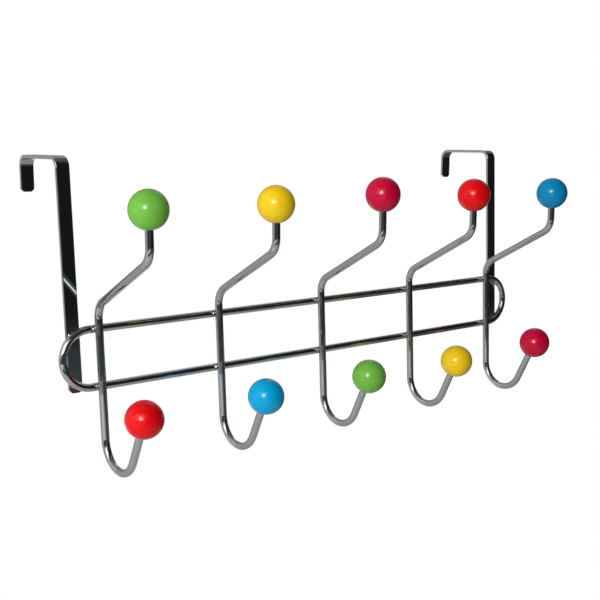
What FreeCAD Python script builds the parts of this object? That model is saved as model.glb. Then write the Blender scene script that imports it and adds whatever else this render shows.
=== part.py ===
import FreeCAD
import Part
import math
import os
import Sketcher
from FreeCAD import Placement, Rotation, Vector

os.makedirs("parts", exist_ok=True)
doc = FreeCAD.newDocument("over_door_hook")

# Driving sizes in millimetres and degrees. The part's origin is on the door's front top edge,
# midway between the straps: +X runs along the rack, -Y points into the room, +Z is up.
SIZES = [
    ("wire_dia", 4.5, "round wire of the loop and of the hooks"),
    ("weld_set", 0.5, "how far a weld lets two crossing members sink together"),
    ("loop_height", 32.4, "long wire to long wire, centre to centre"),
    ("loop_margin", 5.65, "outer hook to the start of the loop's round end, with the loop centred"),
    ("loop_offset", 1.2, "loop welded this far right of the middle"),
    ("hook_pitch", 79.0, "hook to hook"),
    ("stem_above", 5.8, "straight stem above the upper long wire's centre"),
    ("bend_rad", 11.0, "centre line radius of both upper bends"),
    ("arm_slope", 25.3, "upper arm above the horizontal"),
    ("arm_run", 51.0, "straight part of the upper arm"),
    ("post_lean", 2.5, "upper post forward of upright"),
    ("post_run", 18.4, "straight post up to the ball's centre"),
    ("stem_below", 29.3, "straight stem below the lower long wire's centre"),
    ("jay_rad", 16.0, "centre line radius of the J curve"),
    ("jay_lean", 29.0, "lower arm forward of upright"),
    ("jay_run", 29.9, "straight lower arm up to the ball's centre"),
    ("wire_nose", 0.4, "chamfer on the hook wire's ends"),
    ("ball_dia", 20.8, "plastic ball"),
    ("bore_depth", 12.4, "blind bore, from the ball's surface to its flat floor"),
    ("bore_slack", 0.1, "bore diameter over wire diameter"),
    ("bore_lead", 0.4, "lead-in chamfer at the bore's mouth"),
    ("strap_inset", 11.2, "outer end of a centred loop to strap centre"),
    ("strap_width", 8.0, "flat strip width"),
    ("strap_thick", 2.0, "flat strip thickness"),
    ("strap_edge", 0.5, "rounded long edges of the strip"),
    ("strap_bend", 4.5, "inner radius of the strap's bends"),
    ("strap_clip", 1.8, "clipped corners at the strip's ends"),
    ("strap_drop", 108.5, "door top to the loop's middle"),
    ("strap_tail", 2.0, "strap below the lower long wire's centre"),
    ("strap_rise", 2.5, "how far the bends have sprung open: the top's rise to the back"),
    ("lip_lean", 3.0, "lip backward of upright"),
    ("door_gap", 43.0, "clear gap between strap and lip, at the top"),
    ("lip_reach", 17.0, "lip below the door top"),
]

# The hooks are bent by hand, so each arm and ball stands a little off the nominal height.
ARM_EXTRA = [0.0, 0.0, 0.0, -0.3, -1.2]
UPPER_EXTRA = [0.5, 0.0, 2.4, -0.4, -1.0]
LOWER_EXTRA = [0.4, 0.0, 0.0, -1.6, 1.4]
HOOKS = len(UPPER_EXTRA)
for number in range(1, HOOKS + 1):
    SIZES.append((f"arm_extra_{number}", ARM_EXTRA[number - 1], "upper stem over its nominal run"))
    SIZES.append((f"upper_extra_{number}", UPPER_EXTRA[number - 1], "post over its nominal run"))
    SIZES.append((f"lower_extra_{number}", LOWER_EXTRA[number - 1], "lower arm over its nominal run"))

sheet = doc.addObject("Spreadsheet::Sheet", "Sizes")
for row, (alias, value, note) in enumerate(SIZES, start=1):
    sheet.set(f"A{row}", alias)
    sheet.set(f"B{row}", str(value))
    sheet.set(f"C{row}", note)
    sheet.setAlias(f"B{row}", alias)
doc.recompute()

# The gauge tells what a formula comes to with the sheet's present sizes, so that a sketch can
# be drawn near its final place before its constraints take hold.
gauge = doc.addObject("App::FeaturePython", "Gauge")
gauge.addProperty("App::PropertyFloat", "Reading")


def reading(formula):
    gauge.setExpression("Reading", formula)
    gauge.recompute()
    return gauge.Reading


def heading_vector(degrees):
    return Vector(math.cos(math.radians(degrees)), math.sin(math.radians(degrees)), 0)


def new_body(label, place):
    """An empty body. Its Placement follows the sheet: place holds the x, y and z formulas."""
    body = doc.addObject("PartDesign::Body", label)
    body.Label = label
    for axis, formula in zip("xyz", place):
        body.setExpression(f"Placement.Base.{axis}", formula)
    return body


def origin_feature(body, role):
    return [item for item in body.Origin.OriginFeatures if item.Role == role][0]


def new_sketch(body, role, name, offset=None):
    """A sketch on one of the body's origin planes, moved off along its normal if asked."""
    sketch = body.newObject("Sketcher::SketchObject", name)
    sketch.AttachmentSupport = [(origin_feature(body, role), "")]
    sketch.MapMode = "FlatFace"
    if offset:
        sketch.setExpression("AttachmentOffset.Base.z", offset)
    return sketch


def dimension(sketch, name, formula, kind, *where):
    """One driving constraint, named and bound to a formula of the sheet's sizes."""
    value = reading(formula)
    if kind == "Angle":
        value = math.radians(value)
        formula = f"({formula}) * 1 deg"
    index = sketch.addConstraint(Sketcher.Constraint(kind, *where, value))
    sketch.renameConstraint(index, name)
    sketch.setExpression(f"Constraints.{name}", formula)


def straight_run(sketch, name, spot, angle, length):
    """A line of the given length formula from spot along angle: its index and its end."""
    end = spot + heading_vector(angle) * reading(length)
    line = sketch.addGeometry(Part.LineSegment(spot, end), False)
    dimension(sketch, name, length, "Distance", line)
    return line, end


def tangent_bend(sketch, name, spot, angle, new_angle, radius):
    """An arc that turns the path from angle to new_angle: its index, its first and last point
    as the sketch counts them, and where it ends."""
    size = reading(radius)
    side = 90 if new_angle > angle else -90
    centre = spot + heading_vector(angle + side) * size
    end = centre - heading_vector(new_angle + side) * size
    first_angle = math.radians(angle + side + 180)
    last_angle = math.radians(new_angle + side + 180)
    circle = Part.Circle(centre, Vector(0, 0, 1), size)
    if side == 90:
        arc = sketch.addGeometry(Part.ArcOfCircle(circle, first_angle, last_angle), False)
        ends = (1, 2)
    else:
        arc = sketch.addGeometry(Part.ArcOfCircle(circle, last_angle, first_angle), False)
        ends = (2, 1)
    dimension(sketch, name, radius, "Radius", arc)
    return arc, ends, end


def bent_path(sketch, start, angle, moves):
    """A bender's line from a point on the sketch's vertical axis: straight runs, each given by
    its length, joined by tangent bends, each given by its radius and the next run's heading.
    A heading is a plain number where it is level or upright, and otherwise a formula."""
    spot = Vector(0, reading(start), 0)
    tail = None
    turned = angle
    for step, move in enumerate(moves, start=1):
        if move[0] == "run":
            line, end = straight_run(sketch, f"run_{step}", spot, angle, move[1])
            if tail:
                sketch.addConstraint(Sketcher.Constraint("Tangent", tail[0], tail[1], line, 1))
            else:
                sketch.addConstraint(Sketcher.Constraint("PointOnObject", line, 1, -2))
                dimension(sketch, "start", start, "DistanceY", -1, 1, line, 1)
            if isinstance(turned, str):
                dimension(sketch, f"heading_{step}", turned, "Angle", line)
            elif turned % 180 == 0:
                sketch.addConstraint(Sketcher.Constraint("Horizontal", line))
            else:
                sketch.addConstraint(Sketcher.Constraint("Vertical", line))
            tail = (line, 2)
        else:
            turned = move[2]
            new_angle = reading(turned) if isinstance(turned, str) else turned
            arc, ends, end = tangent_bend(sketch, f"bend_{step}", spot, angle, new_angle, move[1])
            sketch.addConstraint(Sketcher.Constraint("Tangent", tail[0], tail[1], arc, ends[0]))
            tail = (arc, ends[1])
            angle = new_angle
        spot = end


def pipe(body, name, section, path):
    feature = body.newObject("PartDesign::AdditivePipe", name)
    feature.Profile = (section, [""])
    feature.Spine = (path, [f"Edge{number}" for number in range(1, path.GeometryCount + 1)])
    doc.recompute()
    return feature


def symmetric_pocket(body, name, sketch, length):
    feature = body.newObject("PartDesign::Pocket", name)
    feature.Profile = (sketch, [""])
    feature.SideType = "Symmetric"
    feature.setExpression("Length", length)
    return feature


# Places shared by the pieces, as formulas of the sheet's sizes.
LOOP_Y = "-(Sizes.strap_thick + Sizes.wire_dia / 2 - Sizes.weld_set)"
STEM_Y = f"{LOOP_Y} - (Sizes.wire_dia - Sizes.weld_set)"
LOOP_Z = "-Sizes.strap_drop"
END_HOOK_X = f"Sizes.hook_pitch * {(HOOKS - 1) / 2}"
LOOP_END_X = f"({END_HOOK_X} + Sizes.loop_margin + Sizes.loop_height / 2 + Sizes.wire_dia / 2)"
SEAT_RUN = "(Sizes.bore_depth - Sizes.ball_dia / 2)"


def hook_x(number):
    return f"Sizes.hook_pitch * {number - (HOOKS + 1) / 2}"


# Frame loop: one round wire bent into a closed racetrack. Its right half is swept from the
# middle of the upper wire round to the middle of the lower one, then mirrored.
def make_frame_loop():
    body = new_body("frame_loop", ("Sizes.loop_offset", LOOP_Y, LOOP_Z))
    section = new_sketch(body, "YZ_Plane", "LoopSection")
    circle = section.addGeometry(Part.Circle(Vector(0, 0, 0), Vector(0, 0, 1), 1), False)
    section.addConstraint(Sketcher.Constraint("PointOnObject", circle, 3, -2))
    dimension(section, "radius", "Sizes.wire_dia / 2", "Radius", circle)
    dimension(section, "level", "Sizes.loop_height / 2", "DistanceY", -1, 1, circle, 3)
    path = new_sketch(body, "XZ_Plane", "LoopPath")
    half_run = f"{END_HOOK_X} + Sizes.loop_margin"
    bent_path(path, "Sizes.loop_height / 2", 0, [
        ("run", half_run),
        ("bend", "Sizes.loop_height / 2", -180),
        ("run", half_run),
    ])
    doc.recompute()
    half = pipe(body, "LoopHalf", section, path)
    mirrored = body.newObject("PartDesign::Mirrored", "LoopMirror")
    mirrored.Originals = [half]
    mirrored.MirrorPlane = (origin_feature(body, "YZ_Plane"), [""])
    body.Tip = mirrored
    return body


# Hook wire: one round wire bent in a single plane. It is swept up and down from the stem's
# level with the loop's middle, its ends are chamfered, and its back is set into both welds.
def make_hook_wire(number):
    body = new_body(f"hook_wire_{number}", (hook_x(number), STEM_Y, LOOP_Z))
    section = new_sketch(body, "XY_Plane", "WireSection")
    circle = section.addGeometry(Part.Circle(Vector(0, 0, 0), Vector(0, 0, 1), 1), False)
    section.addConstraint(Sketcher.Constraint("Coincident", circle, 3, -1, 1))
    dimension(section, "radius", "Sizes.wire_dia / 2", "Radius", circle)
    upper_path = new_sketch(body, "YZ_Plane", "UpperPath")
    bent_path(upper_path, "0", 90, [
        ("run", f"Sizes.loop_height / 2 + Sizes.stem_above + Sizes.arm_extra_{number}"),
        ("bend", "Sizes.bend_rad", "180 - Sizes.arm_slope"),
        ("run", "Sizes.arm_run"),
        ("bend", "Sizes.bend_rad", "90 + Sizes.post_lean"),
        ("run", f"Sizes.post_run + Sizes.upper_extra_{number} + {SEAT_RUN}"),
    ])
    lower_path = new_sketch(body, "YZ_Plane", "LowerPath")
    bent_path(lower_path, "0", 270, [
        ("run", "Sizes.loop_height / 2 + Sizes.stem_below"),
        ("bend", "Sizes.jay_rad", "90 + Sizes.jay_lean"),
        ("run", f"Sizes.jay_run + Sizes.lower_extra_{number} + {SEAT_RUN}"),
    ])
    doc.recompute()
    pipe(body, "UpperWire", section, upper_path)
    wire = pipe(body, "LowerWire", section, lower_path)
    caps = [face for face in wire.Shape.Faces if isinstance(face.Surface, Part.Plane)]
    rims = [edge for face in caps for edge in face.Edges]
    names = [f"Edge{index}" for index, edge in enumerate(wire.Shape.Edges, start=1)
             if any(edge.isSame(rim) for rim in rims)]
    nose = body.newObject("PartDesign::Chamfer", "WireNose")
    nose.Base = (wire, names)
    nose.setExpression("Size", "Sizes.wire_nose")
    seats = new_sketch(body, "YZ_Plane", "WeldSeats")
    for side, name in ((1, "upper"), (-1, "lower")):
        centre = Vector(reading("Sizes.wire_dia"), side * reading("Sizes.loop_height / 2"), 0)
        seat = seats.addGeometry(Part.Circle(centre, Vector(0, 0, 1), 1), False)
        span = (-1, 1, seat, 3) if side == 1 else (seat, 3, -1, 1)
        dimension(seats, f"{name}_radius", "Sizes.wire_dia / 2", "Radius", seat)
        dimension(seats, f"{name}_back", "Sizes.wire_dia - Sizes.weld_set", "DistanceX", -1, 1, seat, 3)
        dimension(seats, f"{name}_level", "Sizes.loop_height / 2", "DistanceY", *span)
    symmetric_pocket(body, "WeldPocket", seats, "Sizes.wire_dia * 2")
    return body


# Ball: moulded plastic, turned about its bore. The body's origin is the ball's centre, and the
# bore opens downwards. The wire's end stands on the bore's flat floor.
def make_ball(label, place, lean):
    body = new_body(label, place)
    body.Placement = Placement(body.Placement.Base, Rotation(Vector(1, 0, 0), 1))
    body.setExpression("Placement.Rotation.Angle", f"{lean} * 1 deg")
    radius = reading("Sizes.ball_dia / 2")
    wall = reading("(Sizes.wire_dia + Sizes.bore_slack) / 2")
    mouth = wall + reading("Sizes.bore_lead")
    floor = reading("Sizes.bore_depth - Sizes.ball_dia / 2")
    low = -math.sqrt(radius * radius - mouth * mouth)
    section = new_sketch(body, "XZ_Plane", "BallSection")
    circle = Part.Circle(Vector(0, 0, 0), Vector(0, 0, 1), radius)
    skin = section.addGeometry(Part.ArcOfCircle(circle, math.atan2(low, mouth), math.pi / 2), False)
    corners = [
        Vector(mouth, low, 0),
        Vector(wall, low + mouth - wall, 0),
        Vector(wall, floor, 0),
        Vector(0, floor, 0),
        Vector(0, radius, 0),
    ]
    lead, bore, ground, core = [
        section.addGeometry(Part.LineSegment(first, second), False)
        for first, second in zip(corners, corners[1:])
    ]
    for one, other in ((lead, bore), (bore, ground), (ground, core)):
        section.addConstraint(Sketcher.Constraint("Coincident", one, 2, other, 1))
    section.addConstraint([
        Sketcher.Constraint("Coincident", skin, 1, lead, 1),
        Sketcher.Constraint("Coincident", core, 2, skin, 2),
        Sketcher.Constraint("Coincident", skin, 3, -1, 1),
        Sketcher.Constraint("Vertical", bore),
        Sketcher.Constraint("Horizontal", ground),
        Sketcher.Constraint("PointOnObject", core, 1, -2),
        Sketcher.Constraint("PointOnObject", core, 2, -2),
    ])
    dimension(section, "radius", "Sizes.ball_dia / 2", "Radius", skin)
    dimension(section, "bore", "(Sizes.wire_dia + Sizes.bore_slack) / 2", "DistanceX", -1, 1, bore, 1)
    dimension(section, "lead_out", "Sizes.bore_lead", "DistanceX", lead, 2, lead, 1)
    dimension(section, "lead_up", "Sizes.bore_lead", "DistanceY", lead, 1, lead, 2)
    dimension(section, "crown", "Sizes.ball_dia - Sizes.bore_depth", "DistanceY", core, 1, core, 2)
    turned = body.newObject("PartDesign::Revolution", "Ball")
    turned.Profile = (section, [""])
    turned.ReferenceAxis = (section, ["V_Axis"])
    turned.Angle = 360
    return body


def upper_ball_place(number):
    """Where the upper path's last run reaches the ball's centre."""
    slope = "Sizes.arm_slope * 1 deg"
    lean = "Sizes.post_lean * 1 deg"
    run = f"(Sizes.post_run + Sizes.upper_extra_{number})"
    forward = (f"Sizes.bend_rad * (1 + cos({lean}) - 2 * sin({slope}))"
               f" + Sizes.arm_run * cos({slope}) + {run} * sin({lean})")
    height = (f"Sizes.loop_height / 2 + Sizes.stem_above + Sizes.arm_extra_{number}"
              f" + Sizes.bend_rad * (2 * cos({slope}) - sin({lean}))"
              f" + Sizes.arm_run * sin({slope}) + {run} * cos({lean})")
    return hook_x(number), f"{STEM_Y} - ({forward})", f"{LOOP_Z} + {height}"


def lower_ball_place(number):
    """Where the lower path's last run reaches the ball's centre."""
    lean = "Sizes.jay_lean * 1 deg"
    run = f"(Sizes.jay_run + Sizes.lower_extra_{number})"
    forward = f"Sizes.jay_rad * (1 + cos({lean})) + {run} * sin({lean})"
    depth = (f"Sizes.loop_height / 2 + Sizes.stem_below"
             f" + Sizes.jay_rad * sin({lean}) - {run} * cos({lean})")
    return hook_x(number), f"{STEM_Y} - ({forward})", f"{LOOP_Z} - ({depth})"


STRAP_FOOT = "(Sizes.strap_drop + Sizes.loop_height / 2 + Sizes.strap_tail)"


# Door strap: flat strip with rounded long edges, bent twice over the door. Both bends have sprung
# open a little, so the top rises to the back and the lip leans. The strip is swept from its lower
# end, both ends have clipped corners, and the loop's wire is set into its front.
def make_door_strap(label, side, loop):
    place = (f"{side} * ({LOOP_END_X} - Sizes.strap_inset)", "-Sizes.strap_thick / 2", f"-{STRAP_FOOT}")
    body = new_body(f"{label}_strip", place)
    section = new_sketch(body, "XY_Plane", "StripSection")
    rounded_rectangle(section, "Sizes.strap_width", "Sizes.strap_thick", "Sizes.strap_edge")
    path = new_sketch(body, "YZ_Plane", "StripPath")
    bend = "Sizes.strap_bend + Sizes.strap_thick / 2"
    rise = "Sizes.strap_rise * 1 deg"
    front_cut = "Sizes.strap_bend * tan((90 - Sizes.strap_rise) / 2 * 1 deg)"
    back_cut = "Sizes.strap_bend * tan((90 + Sizes.strap_rise - Sizes.lip_lean) / 2 * 1 deg)"
    lip = f"(Sizes.lip_reach + Sizes.door_gap * tan({rise})) / cos(Sizes.lip_lean * 1 deg)"
    bent_path(path, "0", 90, [
        ("run", f"{STRAP_FOOT} - {front_cut}"),
        ("bend", bend, "Sizes.strap_rise"),
        ("run", f"Sizes.door_gap / cos({rise}) - {front_cut} - {back_cut}"),
        ("bend", bend, "Sizes.lip_lean - 90"),
        ("run", f"{lip} - {back_cut}"),
    ])
    doc.recompute()
    pipe(body, "Strip", section, path)
    clip_corners(body, "Foot", "0", None)
    clip_corners(body, "Lip", f"{STRAP_FOOT} - Sizes.lip_reach", "-(Sizes.door_gap + Sizes.strap_thick)")
    strap = doc.addObject("Part::Cut", label)
    strap.Label = label
    strap.Base = body
    strap.Tool = loop
    return strap


def rounded_rectangle(sketch, width, depth, corner):
    """The strip's section, centred on the sketch's origin."""
    half_wide = reading(width) / 2
    half_deep = reading(depth) / 2
    radius = reading(corner)
    lines = []
    arcs = []
    for quarter in range(4):
        along, across = (half_wide, half_deep) if quarter % 2 == 0 else (half_deep, half_wide)
        ahead = heading_vector(90 * quarter)
        out = heading_vector(90 * quarter - 90)
        first = out * across - ahead * (along - radius)
        last = out * across + ahead * (along - radius)
        centre = out * (across - radius) + ahead * (along - radius)
        turn = math.radians(90 * quarter)
        circle = Part.Circle(centre, Vector(0, 0, 1), radius)
        lines.append(sketch.addGeometry(Part.LineSegment(first, last), False))
        arcs.append(sketch.addGeometry(Part.ArcOfCircle(circle, turn - math.pi / 2, turn), False))
    for quarter in range(4):
        after = (quarter + 1) % 4
        sketch.addConstraint(Sketcher.Constraint("Tangent", lines[quarter], 2, arcs[quarter], 1))
        sketch.addConstraint(Sketcher.Constraint("Tangent", arcs[quarter], 2, lines[after], 1))
    sketch.addConstraint([
        Sketcher.Constraint("Horizontal", lines[0]),
        Sketcher.Constraint("Vertical", lines[1]),
        Sketcher.Constraint("Horizontal", lines[2]),
        Sketcher.Constraint("Vertical", lines[3]),
        Sketcher.Constraint("Symmetric", arcs[0], 3, arcs[2], 3, -1, 1),
        Sketcher.Constraint("Equal", arcs[0], arcs[1]),
        Sketcher.Constraint("Equal", arcs[0], arcs[2]),
    ])
    dimension(sketch, "corner", corner, "Radius", arcs[0])
    dimension(sketch, "width", f"{width} - 2 * {corner}", "DistanceX", arcs[3], 3, arcs[0], 3)
    dimension(sketch, "depth", f"{depth} - 2 * {corner}", "DistanceY", arcs[0], 3, arcs[1], 3)


def clip_corners(body, name, level, offset):
    """Cuts both corners off an end of the strip that points down, at a level above the foot."""
    sketch = new_sketch(body, "XZ_Plane", f"{name}Corners", offset)
    spare = "Sizes.strap_edge"
    edge = f"Sizes.strap_width / 2 + {spare}"
    leg = f"Sizes.strap_clip + 2 * {spare}"
    top = f"{level} + Sizes.strap_clip + {spare}"
    for side in (1, -1):
        outer = side * reading(edge)
        inner = outer - side * reading(leg)
        high = reading(top)
        low = high - reading(leg)
        corners = [Vector(inner, low, 0), Vector(outer, low, 0), Vector(outer, high, 0)]
        base, upright, slant = [
            sketch.addGeometry(Part.LineSegment(corners[index], corners[(index + 1) % 3]), False)
            for index in range(3)
        ]
        for one, other in ((base, upright), (upright, slant), (slant, base)):
            sketch.addConstraint(Sketcher.Constraint("Coincident", one, 2, other, 1))
        sketch.addConstraint(Sketcher.Constraint("Horizontal", base))
        sketch.addConstraint(Sketcher.Constraint("Vertical", upright))
        sketch.addConstraint(Sketcher.Constraint("Equal", base, upright))
        word = "right" if side == 1 else "left"
        span = (-1, 1, upright, 2) if side == 1 else (upright, 2, -1, 1)
        dimension(sketch, f"{word}_leg", leg, "Distance", upright)
        dimension(sketch, f"{word}_edge", edge, "DistanceX", *span)
        dimension(sketch, f"{word}_top", top, "DistanceY", -1, 1, upright, 2)
    symmetric_pocket(body, f"{name}Clip", sketch, "Sizes.strap_thick * 4")


frame_loop = make_frame_loop()
nodes = [frame_loop]
for number in range(1, HOOKS + 1):
    nodes.append(make_hook_wire(number))
for number in range(1, HOOKS + 1):
    nodes.append(make_ball(f"upper_ball_{number}", upper_ball_place(number), "Sizes.post_lean"))
for number in range(1, HOOKS + 1):
    nodes.append(make_ball(f"lower_ball_{number}", lower_ball_place(number), "Sizes.jay_lean"))
doc.recompute()
nodes.append(make_door_strap("door_strap_left", -1, frame_loop))
nodes.append(make_door_strap("door_strap_right", 1, frame_loop))
doc.recompute()

for item in doc.Objects:
    if "Invalid" in item.State or "Error" in item.State:
        raise RuntimeError(f"{item.Label} did not build")
for node in nodes:
    if node.Shape.isNull() or not node.Shape.isValid():
        raise RuntimeError(f"{node.Label} has no valid shape")
    node.Shape.exportStep(f"parts/{node.Label}.step")
    print(node.Label, len(node.Shape.Solids), round(node.Shape.Volume, 1))
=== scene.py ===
import math

import bmesh
import bpy
from mathutils import Euler, Matrix, Vector


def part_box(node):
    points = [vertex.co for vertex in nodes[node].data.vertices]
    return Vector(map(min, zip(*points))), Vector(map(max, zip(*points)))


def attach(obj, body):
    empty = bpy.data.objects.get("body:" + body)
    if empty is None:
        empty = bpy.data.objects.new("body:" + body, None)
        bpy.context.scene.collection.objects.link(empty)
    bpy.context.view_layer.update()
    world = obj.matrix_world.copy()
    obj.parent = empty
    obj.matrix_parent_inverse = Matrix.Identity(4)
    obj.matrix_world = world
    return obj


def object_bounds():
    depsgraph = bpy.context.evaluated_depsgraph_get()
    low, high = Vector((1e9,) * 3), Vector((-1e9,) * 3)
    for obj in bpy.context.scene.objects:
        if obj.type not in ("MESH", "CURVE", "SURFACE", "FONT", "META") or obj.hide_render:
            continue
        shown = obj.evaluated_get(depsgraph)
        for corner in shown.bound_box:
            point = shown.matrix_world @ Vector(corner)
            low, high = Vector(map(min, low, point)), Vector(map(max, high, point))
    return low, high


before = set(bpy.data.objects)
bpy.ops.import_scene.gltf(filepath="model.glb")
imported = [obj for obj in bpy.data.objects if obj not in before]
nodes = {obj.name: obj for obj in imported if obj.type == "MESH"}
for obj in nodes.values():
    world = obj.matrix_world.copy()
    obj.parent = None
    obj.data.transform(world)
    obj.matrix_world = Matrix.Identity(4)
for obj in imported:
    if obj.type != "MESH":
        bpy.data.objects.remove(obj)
cad_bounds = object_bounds()
scene = bpy.context.scene

# Frame loop: one length of drawn steel wire bent into a closed racetrack, butt welded, and then
# plated with the rest of the rack in bright nickel and chrome. The long wires run along X.
LOOP_LOW, LOOP_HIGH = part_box("frame_loop")
LOOP_CENTRE = (LOOP_LOW + LOOP_HIGH) / 2
WIRE_DIA = LOOP_HIGH.y - LOOP_LOW.y
LOOP_HEIGHT = LOOP_HIGH.z - LOOP_LOW.z - WIRE_DIA
LOOP_HALF_RUN = (LOOP_HIGH.x - LOOP_LOW.x - WIRE_DIA - LOOP_HEIGHT) / 2
HOOK_COUNT = 5
HOOK_X = [sum(corner.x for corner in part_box(f"hook_wire_{number}")) / 2
          for number in range(1, HOOK_COUNT + 1)]
HOOK_PITCH = HOOK_X[1] - HOOK_X[0]
MM = 0.001
CHROME = "#c4c8cb"
WELD_TINT = "#8d8a86"
# Nearly all of a noise pattern's values lie between these two.
NOISE_LOW, NOISE_HIGH = 0.3, 0.7
PLATE_HAZE_SIZE = 6 * MM
PLATE_ROUGHNESS = (0.035, 0.075)
PLATE_WAVE_SIZE = 8 * MM
PLATE_WAVE_DEPTH = 0.003 * MM
DRAWN_LINE_DEPTH = 0.0005 * MM
# Drawing lines are some 0.05 mm apart. They are drawn at 0.4 mm, so that they show at all.
DRAWN_LINE_SIZE = 0.4 * MM
WELD_HEAT_FULL = 2.0 * MM
WELD_HEAT_END = 4.5 * MM
WELD_DULLING = 0.16


def linear(hex_colour):
    """An sRGB hex colour as linear red, green and blue with full alpha."""
    parts = [int(hex_colour[start:start + 2], 16) / 255 for start in (1, 3, 5)]
    return [part / 12.92 if part <= 0.04045 else ((part + 0.055) / 1.055) ** 2.4
            for part in parts] + [1.0]


def add_node(tree, kind, inputs=None, **settings):
    """A node with its own settings. Each input is a value, or the socket that feeds it."""
    node = tree.nodes.new(kind)
    for name, value in settings.items():
        setattr(node, name, value)
    for name, value in (inputs or {}).items():
        if isinstance(value, bpy.types.NodeSocket):
            tree.links.new(value, node.inputs[name])
        else:
            node.inputs[name].default_value = value
    return node


def new_surface(name):
    """An empty material with its output, a Principled shader and the Object coordinates."""
    material = bpy.data.materials.new(name)
    material.use_nodes = True
    tree = material.node_tree
    tree.nodes.clear()
    coordinates = add_node(tree, "ShaderNodeTexCoord").outputs["Object"]
    shader = add_node(tree, "ShaderNodeBsdfPrincipled")
    add_node(tree, "ShaderNodeOutputMaterial", {"Surface": shader.outputs["BSDF"]})
    return material, tree, coordinates, shader


def plate(tree, shader, place, lines, weld_distance):
    """Bright chrome over nickel on steel: a mirror with a trace of haze and the wavy skin that
    plating leaves over drawing lines. The heat of a weld dulls and browns it close by."""
    haze = add_node(tree, "ShaderNodeTexNoise", {
        "Vector": place, "Scale": 1 / PLATE_HAZE_SIZE, "Detail": 3.0,
    })
    skin = add_node(tree, "ShaderNodeTexNoise", {
        "Vector": place, "Scale": 1 / PLATE_WAVE_SIZE, "Detail": 0.0,
    })
    scratch = add_node(tree, "ShaderNodeTexNoise", {
        "Vector": lines, "Scale": 1 / DRAWN_LINE_SIZE, "Detail": 2.0,
    })
    near_weld = add_node(tree, "ShaderNodeMapRange", {
        "Value": weld_distance, "From Min": WELD_HEAT_FULL, "From Max": WELD_HEAT_END,
        "To Min": 1.0, "To Max": 0.0,
    }, interpolation_type="SMOOTHSTEP")
    gloss = add_node(tree, "ShaderNodeMapRange", {
        "Value": haze.outputs["Fac"], "From Min": NOISE_LOW, "From Max": NOISE_HIGH,
        "To Min": PLATE_ROUGHNESS[0], "To Max": PLATE_ROUGHNESS[1],
    })
    dulled = add_node(tree, "ShaderNodeMath", {
        0: near_weld.outputs["Result"], 1: WELD_DULLING, 2: gloss.outputs["Result"],
    }, operation="MULTIPLY_ADD")
    tint = add_node(tree, "ShaderNodeMath", {
        0: near_weld.outputs["Result"], 1: haze.outputs["Fac"],
    }, operation="MULTIPLY")
    colour = add_node(tree, "ShaderNodeMix", {
        "Factor": tint.outputs["Value"], "A": linear(CHROME), "B": linear(WELD_TINT),
    }, data_type="RGBA")
    waves = add_node(tree, "ShaderNodeBump", {
        "Strength": 1.0, "Distance": PLATE_WAVE_DEPTH, "Height": skin.outputs["Fac"],
    })
    drawn = add_node(tree, "ShaderNodeBump", {
        "Strength": 0.1, "Distance": DRAWN_LINE_DEPTH, "Height": scratch.outputs["Fac"],
        "Normal": waves.outputs["Normal"],
    })
    shader.inputs["Metallic"].default_value = 1.0
    tree.links.new(colour.outputs["Result"], shader.inputs["Base Color"])
    tree.links.new(dulled.outputs["Value"], shader.inputs["Roughness"])
    tree.links.new(drawn.outputs["Normal"], shader.inputs["Normal"])


def loop_chrome():
    """Chromed drawn wire whose drawing lines follow the racetrack round its ends."""
    material, tree, coordinates, shader = new_surface("chromed drawn wire, loop")
    centred = add_node(tree, "ShaderNodeVectorMath", {
        0: coordinates, 1: LOOP_CENTRE,
    }, operation="SUBTRACT")
    folded = add_node(tree, "ShaderNodeVectorMath", {
        0: centred.outputs["Vector"],
    }, operation="ABSOLUTE")
    shortened = add_node(tree, "ShaderNodeVectorMath", {
        0: folded.outputs["Vector"], 1: (LOOP_HALF_RUN, 1.0, 0.0),
    }, operation="SUBTRACT")
    past_end = add_node(tree, "ShaderNodeVectorMath", {
        0: shortened.outputs["Vector"], 1: (0.0, 0.0, 0.0),
    }, operation="MAXIMUM")
    across = add_node(tree, "ShaderNodeVectorMath", {
        0: past_end.outputs["Vector"],
    }, operation="LENGTH")
    spot = add_node(tree, "ShaderNodeSeparateXYZ", {"Vector": coordinates})
    lines = add_node(tree, "ShaderNodeCombineXYZ", {
        "X": across.outputs["Value"], "Y": spot.outputs["Y"],
    })
    weld = add_node(tree, "ShaderNodeMath", {
        0: spot.outputs["X"], 1: HOOK_PITCH / 2,
    }, operation="PINGPONG")
    plate(tree, shader, coordinates, lines.outputs["Vector"], weld.outputs["Value"])
    return material


def dress(node_name, material):
    """Gives a CAD node its finish."""
    for slot in nodes[node_name].material_slots:
        slot.material = material


dress("frame_loop", loop_chrome())


# Hook wires: five lengths of the same drawn wire, each bent in one plane and welded to the front
# of both long wires. The drawing lines run along each wire, so they keep their distance in X.
def straight_chrome(name):
    """Chromed steel whose lines keep their distance in X, dulled near the welds' two levels."""
    material, tree, coordinates, shader = new_surface(name)
    spot = add_node(tree, "ShaderNodeSeparateXYZ", {"Vector": coordinates})
    lines = add_node(tree, "ShaderNodeCombineXYZ", {"X": spot.outputs["X"]})
    level = add_node(tree, "ShaderNodeMath", {
        0: spot.outputs["Z"], 1: LOOP_CENTRE.z,
    }, operation="SUBTRACT")
    height = add_node(tree, "ShaderNodeMath", {0: level.outputs["Value"]}, operation="ABSOLUTE")
    weld = add_node(tree, "ShaderNodeMath", {
        0: height.outputs["Value"], 1: LOOP_HEIGHT / 2,
    }, operation="SUBTRACT")
    weld_distance = add_node(tree, "ShaderNodeMath", {
        0: weld.outputs["Value"],
    }, operation="ABSOLUTE").outputs["Value"]
    plate(tree, shader, coordinates, lines.outputs["Vector"], weld_distance)
    return material


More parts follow.
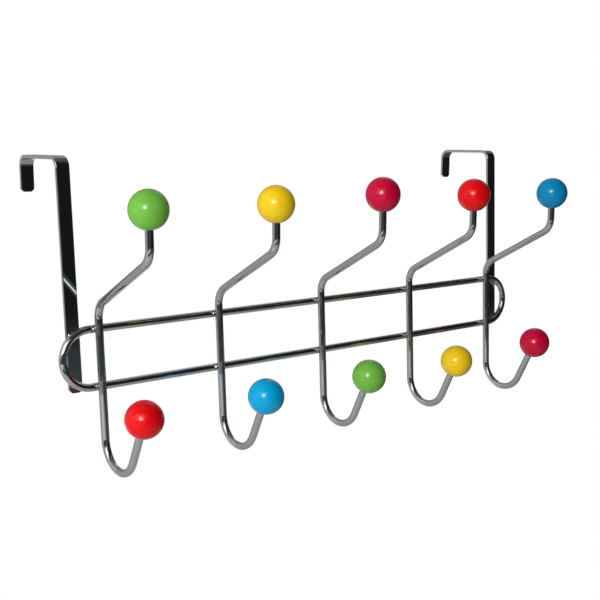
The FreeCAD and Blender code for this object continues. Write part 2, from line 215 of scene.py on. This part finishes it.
HOOK_FINISH = straight_chrome("chromed drawn wire, hooks")
for number in range(1, HOOK_COUNT + 1):
    dress(f"hook_wire_{number}", HOOK_FINISH)

# Hook welds: where a stem crosses a long wire, the resistance weld squeezes a low collar of steel
# out of the joint. It is lumpy, and the plating over it is duller than on the wire.
WELD_HALF_WIDTH = 3.1 * MM
WELD_HALF_HEIGHT = 2.1 * MM
WELD_HALF_THICK = 0.8 * MM
WELD_SET = 0.5 * MM
HOOK_WELD_Y = LOOP_LOW.y + WELD_SET / 2
WELD_LUMP_SIZE = 0.9 * MM
WELD_LUMP_DEPTH = 0.05 * MM
WELD_ROUGHNESS = (0.08, 0.2)
# Each pinch: how many times it comes round the collar, how it shifts from weld to weld, its depth.
WELD_PINCHES = ((3, 1, 0.05), (5, 2, 0.03))
HOOK_WELD_TURN = 1.3


def weld_finish():
    """Chrome over bare weld metal: lumps that break up the mirror, browned by the heat."""
    material, tree, coordinates, shader = new_surface("chromed weld")
    lumps = add_node(tree, "ShaderNodeTexNoise", {
        "Vector": coordinates, "Scale": 1 / WELD_LUMP_SIZE, "Detail": 3.0,
    })
    gloss = add_node(tree, "ShaderNodeMapRange", {
        "Value": lumps.outputs["Fac"], "From Min": NOISE_LOW, "From Max": NOISE_HIGH,
        "To Min": WELD_ROUGHNESS[0], "To Max": WELD_ROUGHNESS[1],
    })
    colour = add_node(tree, "ShaderNodeMix", {
        "Factor": lumps.outputs["Fac"], "A": linear(CHROME), "B": linear(WELD_TINT),
    }, data_type="RGBA")
    relief = add_node(tree, "ShaderNodeBump", {
        "Strength": 1.0, "Distance": WELD_LUMP_DEPTH, "Height": lumps.outputs["Fac"],
    })
    shader.inputs["Metallic"].default_value = 1.0
    tree.links.new(colour.outputs["Result"], shader.inputs["Base Color"])
    tree.links.new(gloss.outputs["Result"], shader.inputs["Roughness"])
    tree.links.new(relief.outputs["Normal"], shader.inputs["Normal"])
    return material


def add_piece(name, shape, material):
    """A finished bmesh as an object of the rack, smooth shaded, that rides with the frame."""
    mesh = bpy.data.meshes.new(name)
    shape.to_mesh(mesh)
    shape.free()
    mesh.materials.append(material)
    mesh.shade_smooth()
    piece = bpy.data.objects.new(name, mesh)
    scene.collection.objects.link(piece)
    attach(piece, "root")
    return piece


def squeezed_collar(centre, turn):
    """A flattened bead, pinched a little so that no two look alike."""
    shape = bmesh.new()
    bmesh.ops.create_uvsphere(shape, u_segments=28, v_segments=14, radius=1.0)
    lying = Matrix.Rotation(math.radians(90), 3, "X")
    bmesh.ops.rotate(shape, verts=shape.verts, matrix=lying)
    half_sizes = (WELD_HALF_WIDTH, WELD_HALF_THICK, WELD_HALF_HEIGHT)
    bmesh.ops.scale(shape, verts=shape.verts, vec=half_sizes)
    for vert in shape.verts:
        around = math.atan2(vert.co.z, vert.co.x)
        swell = 1 + sum(depth * math.sin(count * around + shift * turn)
                        for count, shift, depth in WELD_PINCHES)
        vert.co.x *= swell
        vert.co.z *= swell
    bmesh.ops.translate(shape, verts=shape.verts, vec=centre)
    return shape


WELD_FINISH = weld_finish()
welds = []
for number, x in enumerate(HOOK_X, start=1):
    for side, word in ((1, "upper"), (-1, "lower")):
        spot = Vector((x, HOOK_WELD_Y, LOOP_CENTRE.z + side * LOOP_HEIGHT / 2))
        collar = squeezed_collar(spot, number * HOOK_WELD_TURN + side)
        welds.append(add_piece(f"{word}_hook_weld_{number}", collar, WELD_FINISH))

# Door straps: flat cold-rolled strip with dressed edges, bent twice over the door and plated. Its
# rolling lines run the length of the strip, and the plating's waves make the reflections swim.
STRAP_FINISH = straight_chrome("chromed rolled strip")
for side in ("left", "right"):
    dress(f"door_strap_{side}", STRAP_FINISH)

# Strap welds: the loop's round ends are welded to the front of each strap, once above and once
# below, with the same squeezed collar of steel.
STRAP_WELD_Y = -2.0 * MM
STRAP_WELD_TURN = 20
for side in ("left", "right"):
    low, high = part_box(f"door_strap_{side}")
    centre_x = (low.x + high.x) / 2
    past_end = abs(centre_x - LOOP_CENTRE.x) - LOOP_HALF_RUN
    rise = math.sqrt((LOOP_HEIGHT / 2) ** 2 - past_end ** 2)
    for way, word in ((1, "upper"), (-1, "lower")):
        spot = Vector((centre_x, STRAP_WELD_Y, LOOP_CENTRE.z + way * rise))
        collar = squeezed_collar(spot, centre_x * STRAP_WELD_TURN + way)
        welds.append(add_piece(f"{word}_{side}_strap_weld", collar, WELD_FINISH))

# Balls: moulded polystyrene, pushed onto the wire ends. The moulding is glossy, with the faint
# mottle of its pigment and a trace of orange peel that softens the lamp's reflection.
BALL_COLOURS = {
    "green": "#6baf41",
    "yellow": "#e9c216",
    "magenta": "#be0535",
    "red": "#db0812",
    "blue": "#049cd1",
    "deep blue": "#0480b7",
}
UPPER_BALLS = ("green", "yellow", "magenta", "red", "deep blue")
LOWER_BALLS = ("red", "blue", "green", "yellow", "magenta")
PIGMENT_SPREAD = 0.96
PIGMENT_MOTTLE_SIZE = 7 * MM
ORANGE_PEEL_SIZE = 4 * MM
ORANGE_PEEL_DEPTH = 0.002 * MM
BALL_ROUGHNESS = (0.17, 0.21)
POLYSTYRENE_IOR = 1.55
BALL_SPECULAR_LEVEL = 0.22


def ball_plastic(colour_name):
    """Moulded polystyrene, coloured right through: a soft gloss over a faintly uneven pigment."""
    material, tree, coordinates, shader = new_surface(f"moulded polystyrene, {colour_name}")
    pigment = linear(BALL_COLOURS[colour_name])
    deeper = [part * PIGMENT_SPREAD for part in pigment[:3]] + [1.0]
    mottle = add_node(tree, "ShaderNodeTexNoise", {
        "Vector": coordinates, "Scale": 1 / PIGMENT_MOTTLE_SIZE, "Detail": 2.0,
    })
    peel = add_node(tree, "ShaderNodeTexNoise", {
        "Vector": coordinates, "Scale": 1 / ORANGE_PEEL_SIZE, "Detail": 0.0,
    })
    colour = add_node(tree, "ShaderNodeMix", {
        "Factor": mottle.outputs["Fac"], "A": pigment, "B": deeper,
    }, data_type="RGBA")
    gloss = add_node(tree, "ShaderNodeMapRange", {
        "Value": mottle.outputs["Fac"], "From Min": NOISE_LOW, "From Max": NOISE_HIGH,
        "To Min": BALL_ROUGHNESS[0], "To Max": BALL_ROUGHNESS[1],
    })
    relief = add_node(tree, "ShaderNodeBump", {
        "Strength": 1.0, "Distance": ORANGE_PEEL_DEPTH, "Height": peel.outputs["Fac"],
    })
    shader.inputs["IOR"].default_value = POLYSTYRENE_IOR
    shader.inputs["Specular IOR Level"].default_value = BALL_SPECULAR_LEVEL
    tree.links.new(colour.outputs["Result"], shader.inputs["Base Color"])
    tree.links.new(gloss.outputs["Result"], shader.inputs["Roughness"])
    tree.links.new(relief.outputs["Normal"], shader.inputs["Normal"])
    return material


BALL_FINISHES = {name: ball_plastic(name) for name in BALL_COLOURS}
balls = []
for row, colours in (("upper", UPPER_BALLS), ("lower", LOWER_BALLS)):
    for number, colour_name in enumerate(colours, start=1):
        dress(f"{row}_ball_{number}", BALL_FINISHES[colour_name])
        balls.append(nodes[f"{row}_ball_{number}"])

# Studio floor: a round of pale paper below the rack that only the camera sees. Under the rack it
# keeps the shadow of the top light, and all round it runs into the white of the background.
OBJECT_MIDDLE = (cad_bounds[0] + cad_bounds[1]) / 2
FLOOR_Z = -0.45
FLOOR_RADIUS = 1.9
FLOOR_PAPER = "#dcdcd9"
FLOOR_FADE = (0.16, 0.36)
FLOOR_LEAST_WHITE = 0.7
PAPER_GRAIN_SIZE = 3 * MM
PAPER_GRAIN_DEPTH = 0.05 * MM
WHITE = (1.0, 1.0, 1.0, 1.0)


def background_rays(tree):
    """One for every ray that should find the white background: the camera's, and the ones that
    metal or glass send on."""
    rays = add_node(tree, "ShaderNodeLightPath")
    seen = add_node(tree, "ShaderNodeMath", {
        0: rays.outputs["Is Camera Ray"], 1: rays.outputs["Is Glossy Ray"],
    }, operation="MAXIMUM")
    either = add_node(tree, "ShaderNodeMath", {
        0: seen.outputs["Value"], 1: rays.outputs["Is Transmission Ray"],
    }, operation="MAXIMUM")
    return either.outputs["Value"]


def distance_out(tree, coordinates):
    """The level distance from the middle of the floor."""
    level = add_node(tree, "ShaderNodeVectorMath", {
        0: coordinates, 1: (1.0, 1.0, 0.0),
    }, operation="MULTIPLY")
    return add_node(tree, "ShaderNodeVectorMath", {
        0: level.outputs["Vector"],
    }, operation="LENGTH").outputs["Value"]


def pale_paper(name, distance, fade, least_white):
    """Matt paper with a fine grain. It turns to the white of the background between the two
    distances of the fade, which the distance function measures."""
    material, tree, coordinates, shader = new_surface(name)
    grain = add_node(tree, "ShaderNodeTexNoise", {
        "Vector": coordinates, "Scale": 1 / PAPER_GRAIN_SIZE, "Detail": 3.0,
    })
    relief = add_node(tree, "ShaderNodeBump", {
        "Strength": 0.3, "Distance": PAPER_GRAIN_DEPTH, "Height": grain.outputs["Fac"],
    })
    shader.inputs["Base Color"].default_value = linear(FLOOR_PAPER)
    shader.inputs["Roughness"].default_value = 0.9
    tree.links.new(relief.outputs["Normal"], shader.inputs["Normal"])
    whiter = add_node(tree, "ShaderNodeMapRange", {
        "Value": distance(tree, coordinates), "From Min": fade[0], "From Max": fade[1],
        "To Min": least_white,
    }, interpolation_type="SMOOTHSTEP")
    share = add_node(tree, "ShaderNodeMath", {
        0: whiter.outputs["Result"], 1: background_rays(tree),
    }, operation="MULTIPLY")
    white = add_node(tree, "ShaderNodeEmission", {"Color": WHITE, "Strength": 1.0})
    blend = add_node(tree, "ShaderNodeMixShader", {
        "Fac": share.outputs["Value"], 1: shader.outputs["BSDF"], 2: white.outputs["Emission"],
    })
    output = next(node for node in tree.nodes if node.type == "OUTPUT_MATERIAL")
    tree.links.new(blend.outputs["Shader"], output.inputs["Surface"])
    material.cycles.emission_sampling = "NONE"
    return material


def add_stage(name, shape):
    """A part of the studio, which isn't part of the object."""
    mesh = bpy.data.meshes.new(name)
    shape.to_mesh(mesh)
    shape.free()
    piece = bpy.data.objects.new(name, mesh)
    scene.collection.objects.link(piece)
    return piece


def add_floor(name, level, paper):
    """A round of floor at one level."""
    shape = bmesh.new()
    bmesh.ops.create_circle(shape, cap_ends=True, segments=96, radius=FLOOR_RADIUS)
    bmesh.ops.translate(shape, verts=shape.verts, vec=(0, 0, level))
    sheet = add_stage(name, shape)
    sheet.data.materials.append(paper)
    return sheet


FLOOR_FINISH = pale_paper("pale studio paper", distance_out, FLOOR_FADE, FLOOR_LEAST_WHITE)
floor = add_floor("studio_floor", FLOOR_Z, FLOOR_FINISH)
floor.visible_diffuse = False
floor.visible_glossy = False
floor.visible_shadow = False

# Room floor: what the plating mirrors below the rack, and what throws the lamps' light up at the
# balls. The camera doesn't see it. Behind the rack it runs into the white of the background.
ROOM_FLOOR_Z = FLOOR_Z - 2 * MM
ROOM_FLOOR_FADE = (0.12, 0.36)
BEHIND_RACK = Vector((0.625, 0.781, 0.0))


def distance_behind(tree, coordinates):
    """The distance behind the rack, along the heading that the photograph was taken on."""
    return add_node(tree, "ShaderNodeVectorMath", {
        0: coordinates, 1: BEHIND_RACK,
    }, operation="DOT_PRODUCT").outputs["Value"]


ROOM_FLOOR_FINISH = pale_paper("pale paper, room floor", distance_behind, ROOM_FLOOR_FADE, 0.0)
room_floor = add_floor("room_floor", ROOM_FLOOR_Z, ROOM_FLOOR_FINISH)
room_floor.visible_camera = False

# Painted room reflection: glowing panels that stand for the far floor, walls and ceiling of the
# room, which only reflections find. Their glow paints the room's light and shade into the
# reflections, and the darkest panels are painted shade. Their headings are degrees to the right of
# straight ahead of the rack's front, and their heights are degrees above the level.
PAINTED_REFLECTION_RADIUS = 2.6
PAINTED_REFLECTION_PANELS = (
    # name, first and last heading, lowest and highest height, brightness
    ("back wall", 140, 180, -20, 90, 0.3),
    ("grey ceiling, left", -180, -100, 60, 90, 0.33),
    ("grey ceiling, right", -100, 140, 60, 90, 0.13),
    ("pale screen", 118, 140, -12, 60, 0.8),
    ("dim screen", 80, 118, 25, 60, 0.17),
    # The next four glow only dimly: painted shade on the right of the rack.
    ("painted shade, lowest strip on the right", 8, 118, -12, -10, 0.055),
    ("painted shade, paler strip on the right", 8, 118, -10, -8, 0.027),
    ("painted deep shade on the right", 8, 118, -8, 45, 0.013),
    ("painted shade, top on the right", 8, 80, 45, 60, 0.06),
    ("far left wall", -180, -160, -20, 60, 0.36),
    ("lit left wall", -140, -85, 5, 45, 0.66),
    ("left wall", -160, -100, -20, 60, 0.47),
    ("left wall over the lamp", -100, -80, 45, 60, 0.3),
    ("foot of the left wall", -100, -80, -12, 0, 0.26),
    ("edge of the left wall", -100, -72, 0, 45, 0.6),
    ("shaded front", -80, 8, -12, 60, 0.06),
    ("lit far floor", -100, -40, -20, -12, 0.75),
    ("far floor", -40, -12, -20, -12, 0.36),
    # The next three glow only dimly: painted shade on the floor.
    ("painted shade, far floor", -12, 140, -20, -12, 0.07),
    ("painted shade, near floor in front", -75, 60, -30, -20, 0.1),
    ("painted shade, near floor on the right", 60, 140, -46, -20, 0.07),
)
PAINTED_REFLECTION_OVER_FLOOR = 10 * MM


def panel_for(heading, height):
    """The number of the first panel that covers a direction, or None on the open floor."""
    for number, (name, first, last, low, high, tone) in enumerate(PAINTED_REFLECTION_PANELS):
        if first <= heading <= last and low <= height <= high:
            return number
    return None


painted_reflection_shape = bmesh.new()
bmesh.ops.create_uvsphere(painted_reflection_shape, u_segments=120, v_segments=90, radius=PAINTED_REFLECTION_RADIUS)
bmesh.ops.reverse_faces(painted_reflection_shape, faces=painted_reflection_shape.faces)
open_floor = []
for face in painted_reflection_shape.faces:
    middle = face.calc_center_median()
    heading = math.degrees(math.atan2(middle.x, -middle.y))
    height = math.degrees(math.asin(middle.z / middle.length))
    number = panel_for(heading, height)
    if number is None:
        open_floor.append(face)
    else:
        face.material_index = number
bmesh.ops.delete(painted_reflection_shape, geom=open_floor, context="FACES")
floor_drop = FLOOR_Z + PAINTED_REFLECTION_OVER_FLOOR - OBJECT_MIDDLE.z
for vert in painted_reflection_shape.verts:
    if vert.co.z < floor_drop:
        vert.co *= floor_drop / vert.co.z
bmesh.ops.translate(painted_reflection_shape, verts=painted_reflection_shape.verts, vec=OBJECT_MIDDLE)
painted_reflection = add_stage("painted_room_reflection", painted_reflection_shape)
for name, first, last, low, high, tone in PAINTED_REFLECTION_PANELS:
    material = bpy.data.materials.new(name)
    material.use_nodes = True
    tree = material.node_tree
    tree.nodes.clear()
    glow = add_node(tree, "ShaderNodeEmission", {"Strength": tone})
    add_node(tree, "ShaderNodeOutputMaterial", {"Surface": glow.outputs["Emission"]})
    material.cycles.emission_sampling = "NONE"
    painted_reflection.data.materials.append(material)
painted_reflection.visible_camera = False
painted_reflection.visible_diffuse = False
painted_reflection.visible_shadow = False


# Lamps: a broad soft box high on the left of the camera with a bright core, a large soft fill far
# round to the left, and weak ones from above, from below the camera and from behind on the right.
# The core's glint is kept for the balls and welds, as it would burn out on the wires.
def add_lamp(name, heading, height, distance, size, watts, size_y=None):
    """A lamp that faces the rack's middle, with its heading and height in degrees as for the
    painted reflection panels. It is a disc, or a rectangle where it has a second size."""
    lamp = bpy.data.lights.new(name, "AREA")
    lamp.shape = "RECTANGLE" if size_y else "DISK"
    lamp.size = size
    if size_y:
        lamp.size_y = size_y
    lamp.energy = watts
    across, up = math.radians(heading), math.radians(height)
    away = Vector((math.sin(across) * math.cos(up), -math.cos(across) * math.cos(up), math.sin(up)))
    holder = bpy.data.objects.new(name, lamp)
    holder.location = OBJECT_MIDDLE + away * distance
    holder.rotation_euler = away.to_track_quat("Z", "Y").to_euler()
    holder.visible_camera = False
    scene.collection.objects.link(holder)
    return holder


soft_box = add_lamp("soft_box", -56, 24, 1.6, 1.5, 7.7, size_y=0.89)
glint = add_lamp("glint", -53, 16.5, 1.8, 0.6, 24.0)
core = add_lamp("core", -53, 16.5, 1.8, 0.42, 10.8)
left_fill = add_lamp("left_fill", -96, 0, 1.4, 1.2, 9.5)
top_light = add_lamp("top_light", -60, 75, 1.5, 1.2, 5.5)
front_fill = add_lamp("front_fill", -45, -22, 1.3, 0.9, 6.5)
right_fill = add_lamp("right_fill", 120, 12, 1.6, 1.2, 4.0)
for softener in (core, left_fill, top_light, front_fill, right_fill):
    softener.visible_glossy = False
glint.visible_diffuse = False
glossy_lumps = bpy.data.collections.new("balls and welds")
for lump in balls + welds:
    glossy_lumps.objects.link(lump)
glint.light_linking.receiver_collection = glossy_lumps
# Only the top light falls on the pale floor, where the edges of the others' light would show.
off_the_floor = bpy.data.collections.new("all but the floor")
off_the_floor.objects.link(floor)
off_the_floor.collection_objects[0].light_linking.link_state = "EXCLUDE"
for lamp_object in (soft_box, core, left_fill, front_fill, right_fill):
    lamp_object.light_linking.receiver_collection = off_the_floor

# Surroundings: white wherever the camera or a reflection looks past the floor and the painted
# reflection panels, and a plain even light on everything else.
AMBIENT = 0.03
world = bpy.data.worlds.new("white surroundings")
world.use_nodes = True
tree = world.node_tree
tree.nodes.clear()
even = add_node(tree, "ShaderNodeBackground", {"Color": WHITE, "Strength": AMBIENT})
white = add_node(tree, "ShaderNodeBackground", {"Color": WHITE, "Strength": 1.0})
mixed = add_node(tree, "ShaderNodeMixShader", {
    "Fac": background_rays(tree), 1: even.outputs["Background"], 2: white.outputs["Background"],
})
add_node(tree, "ShaderNodeOutputWorld", {"Surface": mixed.outputs["Shader"]})
scene.world = world

# Camera: in front of the rack on its left and a little above its middle, as in the photograph. Its
# lens and its slight shift give the photograph's framing.
CAMERA_PLACE = (-0.41592, -0.51145, -0.00976)
CAMERA_TURN_DEGREES = (81.6259, 1.5433, -38.92)
CAMERA_SENSOR_MM = 36.0
CAMERA_LENS_MM = 61.44
CAMERA_SHIFT = (-0.01105, 0.03669)
camera_data = bpy.data.cameras.new("photo_camera")
camera_data.sensor_width = CAMERA_SENSOR_MM
camera_data.lens = CAMERA_LENS_MM
camera_data.shift_x, camera_data.shift_y = CAMERA_SHIFT
camera = bpy.data.objects.new("photo_camera", camera_data)
camera.location = CAMERA_PLACE
camera.rotation_euler = Euler([math.radians(angle) for angle in CAMERA_TURN_DEGREES], "XYZ")
scene.collection.objects.link(camera)
scene.camera = camera
scene.view_settings.view_transform = "Standard"
